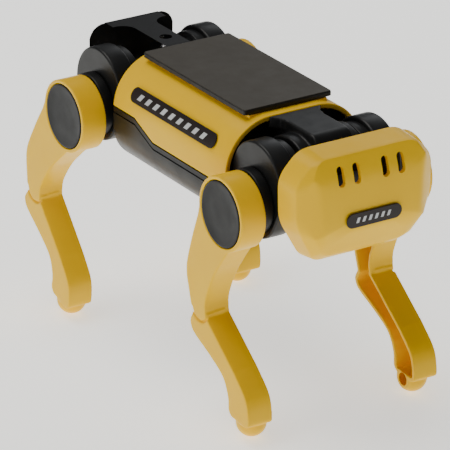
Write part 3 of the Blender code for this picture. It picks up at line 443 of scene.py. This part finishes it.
# ---------------------------------------------------------------- body
def body_section(shrink, steps=32):
    """The body's rounded cross-section as y and z, counter-clockwise, in its four corner arcs."""
    shoulder = (BODY_HALF_WIDTH - SHOULDER_RADIUS, BODY_TOP - SHOULDER_RADIUS)
    belly = (BODY_HALF_WIDTH - BELLY_RADIUS, BODY_BOTTOM + BELLY_RADIUS)
    right = arc(shoulder, SHOULDER_RADIUS - shrink, 0, 90, steps)
    left = [(-y, z) for y, z in reversed(right)]
    low_left = arc((-belly[0], belly[1]), BELLY_RADIUS - shrink, 180, 270, steps)
    low_right = [(-y, z) for y, z in reversed(low_left)]
    return right, left, low_left, low_right


def whole_section(shrink, steps=32):
    right, left, low_left, low_right = body_section(shrink, steps)
    return right + left + low_left + low_right


def above_edge(lift):
    """Side view of everything above the yellow side's stepped edge."""
    far = 0.060
    (back, high), (front, low) = STEP
    edge = [(-far, high + lift), (back, high + lift), (front, low + lift), (far, low + lift)]
    return edge + [(far, far), (-far, far)]


def make_upper_shell():
    reach = 0.0010                               # the arch goes on below the step and is then cut to it
    outer = [(BODY_HALF_WIDTH, STEP[1][1] - reach)] + body_section(0.0)[0] + body_section(0.0)[1]
    outer += [(-BODY_HALF_WIDTH, STEP[1][1] - reach)]
    inner = [(BODY_HALF_WIDTH - WALL, STEP[1][1] - reach)] + body_section(WALL)[0] + body_section(WALL)[1]
    inner += [(-BODY_HALF_WIDTH + WALL, STEP[1][1] - reach)]
    shell = rounded_prism("upper_shell_skin", outer + inner[::-1], BODY_REAR, BODY_FRONT, 0.00055, "x")
    below = above_edge(GAP)[:4] + [(0.060, -0.040), (-0.060, -0.040)]
    (rear, front), half = node_span("solar_panel", 0), 0.0170
    seat = prism("seat", rectangle((rear, -half), (front, half)), BODY_TOP - 0.0030, BODY_TOP, "z")
    join(shell, seat)
    cut(shell, prism("below", below, -0.05, 0.05))
    finish(shell, YELLOW, "body", ["upper_shell"])


def make_lower_shell():
    shell = rounded_prism("lower_shell_skin", whole_section(0.0), BODY_REAR, BODY_FRONT - 0.0010, 0.0006, "x")
    hollow = prism("hollow", whole_section(WALL), -0.06, 0.06, "x")
    cut(shell, hollow, prism("above", above_edge(-GAP), -0.05, 0.05))
    thickness = 0.0018
    for low in (WALL_FACE - thickness, -WALL_FACE):
        join(shell, prism("wall", whole_section(WALL + GAP), low, low + thickness, "x"))
        foot = prism("foot", whole_section(WALL / 2), low, low + thickness, "x")
        join(shell, cut(foot, prism("above", above_edge(-0.0015), -0.05, 0.05)))
    slot = rectangle((-SLOT_HALF_WIDTH, CHAIN_HEIGHT - CHAIN_RADIUS),
                     (SLOT_HALF_WIDTH, CHAIN_HEIGHT + CHAIN_RADIUS))
    cut(shell, prism("slot", slot, -0.06, 0.06, "x"))
    groove = above_edge(-0.0021)[:4]
    groove += [(x, z - 0.0006) for x, z in reversed(groove)]
    for side in SIDES.values():
        cut(shell, prism("groove", groove, *span(side, BODY_HALF_WIDTH - 0.0006, 0.04)))
    for end in HIP_X:
        low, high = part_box("belly_screw_" + end)
        middle = (Vector(low) + Vector(high)) / 2 - MIDDLE
        centre, below = (middle.x, middle.y), BODY_BOTTOM - 0.001
        well = prism("well", circle(centre, 0.0030, 40), below, BODY_BOTTOM + 0.0012, "z")
        hole = prism("hole", circle(centre, 0.0013, 24), below, BODY_BOTTOM + 0.004, "z")
        cut(shell, well, hole)
    finish(shell, BLACK, "body", ["lower_shell"])


def make_panel():
    (rear, front), (right, left), (low, high) = (node_span("solar_panel", axis) for axis in range(3))
    outline = rounded_corners(rectangle((rear, right), (front, left)), 0.0012, 6)
    edge = rounded_prism("solar_panel_board", outline, low, high - 0.00035, 0.0002, "z", 3)
    finish(edge, CELL_EDGE, "body", ["solar_panel"])
    face = rounded_prism("solar_panel_face", inset(outline, 0.0002), high - 0.00034, high, 0.00022, "z", 4)
    finish(face, CELL, "body", [])


def shoulder_width(z):
    """Half width of the body's outside at a height on its rounded shoulder."""
    rise = max(z - (BODY_TOP - SHOULDER_RADIUS), 0.0)
    return BODY_HALF_WIDTH - SHOULDER_RADIUS + math.sqrt(SHOULDER_RADIUS ** 2 - rise ** 2)


def strip(name, rows, side, low_lift, high_lift):
    """A thin curved film on one shoulder; rows are (height, low x, high x), from the bottom up."""
    mesh = bmesh.new()
    centre_height = BODY_TOP - SHOULDER_RADIUS
    layers = []
    for lift in (low_lift, high_lift):
        grid = []
        for z, low, high in rows:
            sideways = shoulder_width(z) - (BODY_HALF_WIDTH - SHOULDER_RADIUS)
            out = Vector((0.0, sideways, z - centre_height)).normalized()
            y, up = side * (shoulder_width(z) + out.y * lift), z + out.z * lift
            grid.append([mesh.verts.new(place(low + (high - low) * step / 24, y, up)) for step in range(25)])
        layers.append(grid)
    for grid in layers:
        for row, above in zip(grid, grid[1:]):
            for index in range(24):
                mesh.faces.new((row[index], row[index + 1], above[index + 1], above[index]))
    for inner, outer in ((layers[0][0], layers[1][0]), (layers[0][-1], layers[1][-1])):
        for index in range(24):
            mesh.faces.new((inner[index], inner[index + 1], outer[index + 1], outer[index]))
    for column in (0, -1):
        for index in range(len(rows) - 1):
            mesh.faces.new((layers[0][index][column], layers[0][index + 1][column],
                            layers[1][index + 1][column], layers[1][index][column]))
    bmesh.ops.recalc_face_normals(mesh, faces=mesh.faces)
    return new_object(name, mesh)


def slanted_bars(count, low, high, middle, half_height):
    """Low and high corners of a row of slanted bars that fill a length."""
    pitch = (high - low) / count
    bars = []
    for index in range(count):
        start = low + pitch * index
        rows = [(middle - half_height + half_height * step / 3, step / 6) for step in range(7)]
        bars.append([(z, start + pitch * 0.28 * t, start + pitch * (0.45 + 0.28 * t)) for z, t in rows])
    return bars


def make_side_badges():
    thickness = 0.0004
    for side_name, side in SIDES.items():
        cad_name = "side_badge_" + side_name
        (rear, front), (low, high) = node_span(cad_name, 0), node_span(cad_name, 2)
        radius, middle = (high - low) / 2, (high + low) / 2
        rows = []
        for step in range(33):
            angle = math.radians(-90 + 180 * step / 32)
            reach = radius - radius * math.cos(angle)
            rows.append((middle + radius * math.sin(angle), rear + reach, front - reach))
        film = strip("side_badge_film_" + side_name, rows, side, GAP, GAP + thickness)
        finish(film, FILM, "body", [cad_name])
        for index, bar in enumerate(slanted_bars(9, rear + 0.0045, front - 0.0045, middle, 0.0011)):
            mark = strip("side_badge_bar_%s_%d" % (side_name, index), bar, side, GAP + thickness,
                         GAP + thickness + 0.00004)
            finish(mark, MARK, "body", [])


# ---------------------------------------------------------------- head
HEAD_BACK = node_span("head_shell", 0)[0]
HEAD_NOSE = node_span("head_shell", 0)[1]
HEAD_RIM = 0.0850
HEAD_WALL = 0.0018
HEAD_BACK_CORNERS = [(0.0200, -0.0148), (0.0299, 0.0025), (0.0303, 0.0192), (0.0218, 0.0279)]
HEAD_FACE_CORNERS = [(0.0173, -0.0113), (0.0254, 0.0011), (0.0260, 0.0186), (0.0208, 0.0270)]
HEAD_CENTRE = (0.0, 0.0070)
EYE_PLACES = (-0.0130, -0.0062, 0.0062, 0.0130)
EYE_LOW, EYE_HIGH, EYE_HALF_WIDTH = 0.0166, 0.0240, 0.0015


def face_depth(y, z):
    """How far forward the crowned face lies: a soft minimum of its nose, brow, chin and side planes."""
    planes = [HEAD_NOSE,
              0.0898 + (0.0195 - z) * (0.0036 / 0.0077),
              0.0912 + (0.0070 - z) * (0.0014 / 0.0125),
              0.0846 + (z + 0.0120) * (0.0066 / 0.0118),
              0.0904 + (0.0220 - abs(y)) * (0.0056 / 0.0078)]
    softness = 0.00045
    total = sum(math.exp(-(plane - HEAD_NOSE) / softness) for plane in planes)
    return -softness * math.log(total) + HEAD_NOSE


def head_skin(name, shrink, back, retreat):
    """The head's outline carried from its back, over the rim and the bevel, to the middle of the face."""
    def whole(half, distance, radius):
        return rounded_corners(inset(half + [(-y, z) for y, z in reversed(half)], distance), radius, 12)

    taper = 0.0007
    back_line = whole(HEAD_BACK_CORNERS, shrink, 0.0046)
    rim_line = whole(HEAD_BACK_CORNERS, shrink + taper, 0.0044)
    face_line = whole(HEAD_FACE_CORNERS, shrink * 0.8, 0.0034)
    mesh = bmesh.new()
    lines = []
    low_chin = 0.0796

    def rim_depth(z):
        """The lower edge of the rim is cut back towards the chin."""
        drop = min(max((-0.0080 - z) / 0.0070, 0.0), 1.0)
        return HEAD_RIM + (low_chin + 0.0012 - HEAD_RIM) * drop * drop * (3 - 2 * drop)

    rim_points = [Vector((rim_depth(z), y, z)) for y, z in rim_line]
    back_points = [Vector((back, y, z)) for y, z in back_line]
    face_points = [Vector((face_depth(y, z), y, z)) for y, z in face_line]
    lines.append(back_points)
    for step in range(1, 6):
        lines.append([a.lerp(b, step / 6 * 0.93) for a, b in zip(back_points, rim_points)])
    start = [a.lerp(b, 0.93) for a, b in zip(back_points, rim_points)]
    end = [a.lerp(b, 0.16) for a, b in zip(rim_points, face_points)]
    for step in range(9):
        t = step / 8
        lines.append([(1 - t) ** 2 * a + 2 * t * (1 - t) * b + t ** 2 * c
                      for a, b, c in zip(start, rim_points, end)])
    middle_y, middle_z = HEAD_CENTRE
    inner = [Vector((0.0, middle_y + (y - middle_y) * 0.97, middle_z + (z - middle_z) * 0.97))
             for y, z in face_line]
    inner = [Vector((face_depth(p.y, p.z), p.y, p.z)) for p in inner]
    near = [a.lerp(b, 0.86) for a, b in zip(rim_points, face_points)]
    for step in range(9):
        t = step / 8
        lines.append([(1 - t) ** 2 * a + 2 * t * (1 - t) * b + t ** 2 * c
                      for a, b, c in zip(near, face_points, inner)])
    for step in range(1, 24):
        scale = 0.97 * (1 - step / 24)
        ring = []
        for y, z in face_line:
            y, z = y * scale, HEAD_CENTRE[1] + (z - HEAD_CENTRE[1]) * scale
            ring.append(Vector((face_depth(y, z), y, z)))
        lines.append(ring)
    rings = [[mesh.verts.new(place(p.x - (retreat if p.x > back else 0.0), p.y, p.z)) for p in line]
             for line in lines]
    count = len(rings[0])
    for near_ring, far_ring in zip(rings, rings[1:]):
        for index in range(count):
            after = (index + 1) % count
            mesh.faces.new((near_ring[index], near_ring[after], far_ring[after], far_ring[index]))
    mesh.faces.new(rings[0])
    mesh.faces.new(rings[-1])
    bmesh.ops.recalc_face_normals(mesh, faces=mesh.faces)
    return new_object(name, mesh)


def make_head():
    head = head_skin("head_shell_skin", 0.0, HEAD_BACK, 0.0)
    cut(head, head_skin("head_hollow", HEAD_WALL, HEAD_BACK - 0.004, HEAD_WALL))
    for y in EYE_PLACES:
        slot = [(z, x) for x, z in stadium(EYE_LOW, EYE_HIGH, y, EYE_HALF_WIDTH, 16)]
        cut(head, prism("eye", slot, HEAD_RIM - 0.006, HEAD_NOSE + 0.004, "x"))
    finish(head, YELLOW, "body", ["head_shell"])
    (right, left), (low, high) = node_span("head_badge", 1), node_span("head_badge", 2)
    front = node_span("head_badge", 0)
    radius, middle = (high - low) / 2, (high + low) / 2
    badge = rounded_prism("head_badge_film", stadium(right, left, middle, radius), *front, 0.00012, "x", 3)
    finish(badge, FILM, "body", ["head_badge"])
    for index, bar in enumerate(slanted_bars(6, right + 0.0040, left - 0.0040, middle, 0.0010)):
        bottom, top = bar[0], bar[-1]
        corners = [(bottom[1], bottom[0]), (bottom[2], bottom[0]), (top[2], top[0]), (top[1], top[0])]
        mark = prism("head_badge_bar_%d" % index, rounded_corners(corners, 0.0002, 3), front[1],
                     front[1] + 0.00004, "x")
        finish(mark, MARK, "body", [])


# ---------------------------------------------------------------- brackets and hips
def gear_room(x, inward):
    """The space inside a bracket for the axle gear, open towards the body."""
    reach = x - inward * 0.0185
    low, high = CHAIN_HEIGHT - CHAIN_RADIUS + 0.0005, CHAIN_HEIGHT + CHAIN_RADIUS
    passage = rectangle((min(x, reach), low), (max(x, reach), high))
    return [prism("room", circle((x, 0.0), AXLE_GEAR_ROOM, 48), -SLOT_HALF_WIDTH, SLOT_HALF_WIDTH),
            prism("room", passage, -SLOT_HALF_WIDTH, SLOT_HALF_WIDTH),
            prism("bore", circle((x, 0.0), BUSH_RADIUS + GAP / 2, 32), -0.05, 0.05)]


BRACKET_VOXEL, BRACKET_ROUNDS = 0.00028, 5
LEG_VOXEL, LEG_ROUNDS = 0.00034, 3


def shell_room():
    """The ring that the body shells' walls take, with a gap."""
    room = prism("ring", whole_section(-0.010), BODY_REAR - GAP, BODY_FRONT + GAP, "x")
    return cut(room, prism("core", whole_section(WALL + GAP), -0.06, 0.06, "x"))


def hubs(x):
    """A bracket's round middle, in two widths."""
    return [rounded_prism("hub", egg(x), -0.0082, 0.0082, 0.0006),
            rounded_prism("hub", egg(x, 0.0007), -HUB_HALF_WIDTH, HUB_HALF_WIDTH, 0.0006)]


def make_front_bracket():
    x = HIP_X["front"]
    back, nose, half, radius = WALL_FACE + GAP, 0.0665, 0.0080, 0.0050
    side_view = [(back, BRACKET_BOTTOM), (nose - 0.004, BRACKET_BOTTOM), (nose, BRACKET_BOTTOM + 0.0038)]
    side_view += arc((nose - radius, BRACKET_TOP - radius), radius, 0, 90, 16) + [(back, BRACKET_TOP)]
    bracket = rounded_prism("front_bracket_body", side_view, -half, half, 0.0006)
    wide = 0.0113
    right = [(0.0402, -wide), (0.0418, -0.0100), (0.0436, -0.0086), (0.0470, -half)]
    top_view = [(back, -wide)] + right + [(x, -y) for x, y in reversed(right)] + [(back, wide)]
    join(bracket, prism("flare", top_view, BRACKET_TOP - 0.0042, BRACKET_TOP, "z"), *hubs(x))
    cut(bracket, *gear_room(x, 1.0), shell_room())
    soften(bracket, BRACKET_VOXEL, BRACKET_ROUNDS)
    finish(bracket, BLACK, "body", ["front_bracket"], 50.0)


TAIL_REAR = node_span("rear_bracket", 0)[0]
TAIL_BAR_FRONT = TAIL_REAR + 0.0063
TAIL_HALF = node_span("rear_bracket", 1)[1]
TAIL_STEM_HALF = 0.0055


def tail_arch(offset, low):
    half, top, radius = TAIL_HALF - offset, BRACKET_TOP - offset, 0.0070 - offset * 0.5
    right = arc((half - radius, top - radius), radius, 0, 90, 16)
    return [(half, low)] + right + [(-y, z) for y, z in reversed(right)] + [(-half, low)]


def make_rear_bracket():
    """The bracket with the tail plate.

    Known fault: soften() loses the hub and the inner walls of this piece.
    """
    x, wall, fillet = HIP_X["rear"], 0.0022, 0.0055
    back = -WALL_FACE - GAP
    stem_side = [(back, BRACKET_TOP), (TAIL_BAR_FRONT - 0.001, BRACKET_TOP),
                 (TAIL_BAR_FRONT - 0.001, BRACKET_BOTTOM + 0.0038), (TAIL_BAR_FRONT + 0.003, BRACKET_BOTTOM),
                 (back, BRACKET_BOTTOM)]
    bracket = prism("rear_bracket_body", tail_arch(0.0, 0.0060), TAIL_REAR, TAIL_BAR_FRONT, "x")
    cut(bracket, prism("hollow", tail_arch(wall, 0.0), TAIL_REAR + wall, TAIL_BAR_FRONT + 0.01, "x"))
    corner = (TAIL_BAR_FRONT + fillet, TAIL_STEM_HALF + fillet)
    web = [(TAIL_BAR_FRONT - 0.001, corner[1])] + arc(corner, fillet, 180, 270, 16)
    web += [(corner[0], 0.0), (TAIL_BAR_FRONT - 0.001, 0.0)]
    webs = [prism("web", [(u, side * v) for u, v in web], 0.0150, BRACKET_TOP, "z")
            for side in SIDES.values()]
    join(bracket, prism("stem", stem_side, -TAIL_STEM_HALF, TAIL_STEM_HALF), *webs, *hubs(x))
    cut(bracket, *gear_room(x, -1.0), shell_room())
    for side in SIDES.values():
        cut(bracket, prism("egg", egg(x, -0.0006), *span(side, HUB_HALF_WIDTH + GAP, 0.05)))
    low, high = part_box("tail_screw")
    middle = (Vector(low) + Vector(high)) / 2 - MIDDLE
    well = circle((middle.x, 0.0), 0.0023, 40)
    cut(bracket, prism("well", well, BRACKET_TOP - 0.0048, BRACKET_TOP + 0.01, "z"))
    soften(bracket, BRACKET_VOXEL, BRACKET_ROUNDS)
    finish(bracket, BLACK, "body", ["rear_bracket"], 50.0)


HOUSING_INNER, HOUSING_OUTER = 0.0182, 0.0266
SPIGOT_INNER = 0.0144
BEARING_OUTER = 0.0311
BEARING_HEIGHT, BEARING_RADIUS = 0.0024, 0.0124


def make_hips():
    """The fixed drums between the body and each leg."""
    for end, x in HIP_X.items():
        for side_name, side in SIDES.items():
            label = "%s_%s" % (end, side_name)
            housing = rounded_prism("hip_housing_drum_" + label, egg(x),
                                    *span(side, HOUSING_INNER, HOUSING_OUTER), 0.0009, steps=7)
            spigot = rounded_prism("spigot", egg(x, 0.0018),
                                   *span(side, SPIGOT_INNER, HOUSING_INNER + 0.001), 0.0004)
            tube = prism("tube", circle((x, 0.0), 0.0050, 40),
                         *span(side, HUB_HALF_WIDTH + GAP, HOUSING_INNER))
            join(housing, spigot, tube)
            cut(housing, prism("bore", circle((x, 0.0), 0.0020, 24), -0.05, 0.05))
            finish(housing, BLACK, "body", ["hip_housing_" + label])
            drum = rounded_prism("hip_bearing_drum_" + label, circle((x, BEARING_HEIGHT), BEARING_RADIUS, 96),
                                 *span(side, HOUSING_OUTER + GAP, BEARING_OUTER), 0.0005)
            cut(drum, prism("bore", circle((x, 0.0), BORE_RADIUS, 24), -0.05, 0.05))
            finish(drum, BLACK, "body", ["hip_bearing_" + label])


# ---------------------------------------------------------------- legs
def leg_outline(fine):
    """One leg from the side, hip at (0, 0): round head, thigh, knee, shank and toe."""
    head = arc((0.0, 0.0), LEG_RING, -70, 186, 9 * fine)
    thigh_back = smooth_line([(-0.0150, -0.0050), (-0.0194, -0.0170), (-0.0226, -0.0290),
                              (-0.0207, -0.0385), (-0.0182, -0.0462)], fine)
    calf = smooth_line([(-0.0193, -0.0481), (-0.0197, -0.0505), (-0.0170, -0.0539), (-0.0064, -0.0588),
                        (0.0022, -0.0638), (0.0059, -0.0702), (0.0065, -0.0755), (0.0082, -0.0776)], fine)
    toe = smooth_line([(0.0172, -0.0785), (0.0193, -0.0778), (0.0201, -0.0758), (0.0192, -0.0700),
                       (0.0168, -0.0656), (0.0099, -0.0592)], fine)
    thigh_front = smooth_line([KNEE, (-0.0094, -0.0380), (-0.0050, -0.0275), (0.0006, -0.0192)], fine)
    return head + thigh_back + calf + toe + thigh_front


def ball(name, centre, radius):
    mesh = bmesh.new()
    bmesh.ops.create_uvsphere(mesh, u_segments=48, v_segments=32, radius=radius)
    bmesh.ops.translate(mesh, vec=place(*centre), verts=mesh.verts)
    return new_object(name, mesh)


def make_leg_form():
    """A right-hand leg at the middle of the body, before it is turned."""
    near, far = -LEG_OUTER, -LEG_INNER
    leg = prism("leg_form", leg_outline(8), near, far)
    join(leg, ball("foot", FOOT, FOOT_RADIUS))
    cut(leg, prism("inside", rectangle((-0.03, -0.10), (0.03, 0.03)), far, far + 0.01))
    cavity = prism("cavity", inset(leg_outline(2), LEG_WALL), near + LEG_WALL, far + 0.01)
    cut(cavity, prism("head", circle((0.0, 0.0), LEG_RING - 0.0002), near - 0.01, far + 0.02))
    cut(leg, cavity)
    rib = rectangle((KNEE[0] - 0.0045, KNEE[1] + 0.0002), (KNEE[0] + 0.0003, KNEE[1] + 0.0014))
    join(leg, prism("rib", rib, near + LEG_WALL / 2, far - 0.0020))
    cut(leg, prism("seat", circle((0.0, 0.0), CAP_RADIUS + GAP), near - 0.01, near + CAP_THICKNESS + GAP),
        prism("room", circle((0.0, 0.0), LEG_RING - 0.0018), near + 0.0045, far + 0.01))
    join(leg, prism("boss", circle((0.0, 0.0), 0.0042, 40), near + 0.0040, far))
    cut(leg, prism("bore", circle((0.0, 0.0), BORE_RADIUS, 24), near + 0.0035, far + 0.01),
        prism("well", circle((0.0, 0.0), 0.0031, 32), near, near + 0.0036),
        ball("pocket", (FOOT[0], FOOT[1] + 0.0004, FOOT[2] - 0.0002), FOOT_RADIUS - 0.0013))
    cup, radius, width = (-0.0134, -0.0418), 0.0062, 0.0009
    groove = arc(cup, radius, 195, 350, 32) + arc(cup, radius - width, 350, 195, 32)
    notch = [(KNEE[0] - 0.0006, KNEE[1] + 0.0022), (KNEE[0] + 0.0060, KNEE[1] + 0.0010),
             (KNEE[0] + 0.0012, KNEE[1] - 0.0006)]
    cut(leg, prism("groove", groove, near - 0.01, near + 0.0009),
        prism("notch", notch, near - 0.01, near + 0.0040))
    return soften(leg, LEG_VOXEL, LEG_ROUNDS)


def make_legs():
    form = make_leg_form()
    for end, x in HIP_X.items():
        for side_name, side in SIDES.items():
            label = "%s_%s" % (end, side_name)
            mesh = bmesh.new()
            mesh.from_mesh(form.data)
            if side > 0:
                bmesh.ops.scale(mesh, vec=(1.0, -1.0, 1.0), verts=mesh.verts)
                bmesh.ops.reverse_faces(mesh, faces=mesh.faces)
            turn = Matrix.Rotation(math.radians(LEG_TURN[label]), 4, "Y")
            bmesh.ops.transform(mesh, matrix=turn, space=Matrix.Translation(-MIDDLE), verts=mesh.verts)
            bmesh.ops.translate(mesh, vec=(x, 0.0, 0.0), verts=mesh.verts)
            leg = new_object("leg_moulding_" + label, mesh)
            finish(leg, YELLOW, end + "_axle", ["leg_" + label], 50.0)
            make_cap(label, end, x, side)
    bpy.data.objects.remove(form, do_unlink=True)


def make_cap(label, end, x, side):
    """The dark disc over a leg's screw: a raised edge round a very shallow dish."""
    rings = [(LEG_OUTER - CAP_THICKNESS, CAP_RADIUS - 0.0002),
             (LEG_OUTER - CAP_THICKNESS + 0.0002, CAP_RADIUS),
             (LEG_OUTER - 0.0003, CAP_RADIUS), (LEG_OUTER - 0.00009, CAP_RADIUS - 0.00009),
             (LEG_OUTER, CAP_RADIUS - 0.0003), (LEG_OUTER, CAP_RADIUS - 0.0009),
             (LEG_OUTER - 0.0001, CAP_RADIUS - 0.0013), (LEG_OUTER - 0.0001, CAP_RADIUS * 0.5)]
    sections = [(side * level, circle((x, 0.0), radius, 96)) for level, radius in rings]
    disc = loft("hip_cap_disc_" + label, sections)
    finish(disc, CAP_BLACK, end + "_axle", ["hip_cap_" + label])


# ---------------------------------------------------------------- screws that show
def make_screw_heads():
    """Cross-headed screws in the belly and in the tail plate, each in its CAD screw's box."""
    for cad_name, up in (("belly_screw_front", -1.0), ("belly_screw_rear", -1.0), ("tail_screw", 1.0)):
        (left, right), (low, high) = node_span(cad_name, 0), node_span(cad_name, 2)
        centre, radius = ((left + right) / 2, 0.0), (right - left) / 2
        top, end = (high, low) if up > 0 else (low, high)
        height = 0.0009 if up < 0 else 0.0012
        rings = [(end, 0.0010), (top - up * height, 0.0010), (top - up * height, radius),
                 (top - up * height * 0.45, radius), (top - up * height * 0.15, radius * 0.88),
                 (top, radius * 0.62), (top, radius * 0.30)]
        screw = loft(cad_name + "_turned", [(level, circle(centre, size, 48)) for level, size in rings], "z")
        arm, width = radius * 0.55, radius * 0.12
        for half_x, half_y in ((arm, width), (width, arm)):
            bar = rectangle((centre[0] - half_x, -half_y), (centre[0] + half_x, half_y))
            cut(screw, prism("recess", bar, *sorted((top - up * height * 0.6, top + up * 0.001)), "z"))
        finish(screw, STEEL, "body", [cad_name])


make_upper_shell()
make_lower_shell()
make_panel()
make_side_badges()
make_head()
make_front_bracket()
make_rear_bracket()
make_hips()
make_legs()
make_screw_heads()
